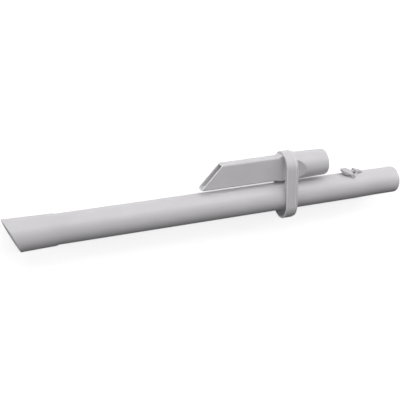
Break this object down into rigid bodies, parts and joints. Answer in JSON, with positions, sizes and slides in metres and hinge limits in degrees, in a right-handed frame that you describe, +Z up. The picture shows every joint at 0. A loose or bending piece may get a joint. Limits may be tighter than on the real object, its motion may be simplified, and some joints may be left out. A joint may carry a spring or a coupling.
{
  "type": "vacuum extension wand",
  "caption": "Straight tapered vacuum wand with a bias cut bell mouth, a sprung thumb latch and a sliding ring holder that stores a crevice tool alongside.",
  "frame": {"origin": "centre of the bounding box, on the floor that the wand lies on", "axes": "X runs along the wand towards its male end, Y points from the wand to the crevice tool beside it, Z is up as the wand lies on the flank of its holder"},
  "size_m": [0.5, 0.0862, 0.041],
  "materials": {
    "wand_plastic": "fine satin moulded plastic",
    "latch_plastic": "fine satin moulded plastic",
    "pin_steel": "drawn wire",
    "spring_steel": "drawn wire",
    "holder_plastic": "fine satin moulded plastic",
    "tool_plastic": "fine satin moulded plastic"
  },
  "bodies": {
    "wand": {"wand_tube": "wand_plastic", "latch_pin": "pin_steel", "latch_spring": "spring_steel"},
    "latch": {"latch_lever": "latch_plastic"},
    "holder": {"tool_holder": "holder_plastic", "crevice_tool": "tool_plastic"}
  },
  "joints": [
    {"name": "holder_slide", "type": "slide", "parent": "wand", "child": "holder", "axis": [1, 0, 0], "range_m": [-0.276, 0.023]},
    {"name": "latch_hinge", "type": "hinge", "parent": "wand", "child": "latch", "pos_m": [0.1928, 0.00515, 0.01984], "axis": [0, 0.0237, 0.9997], "range_deg": [0, 5], "stiffness_Nm_per_rad": 0.3, "springref_deg": -5.73, "deforming": ["latch_spring"]}
  ]
}
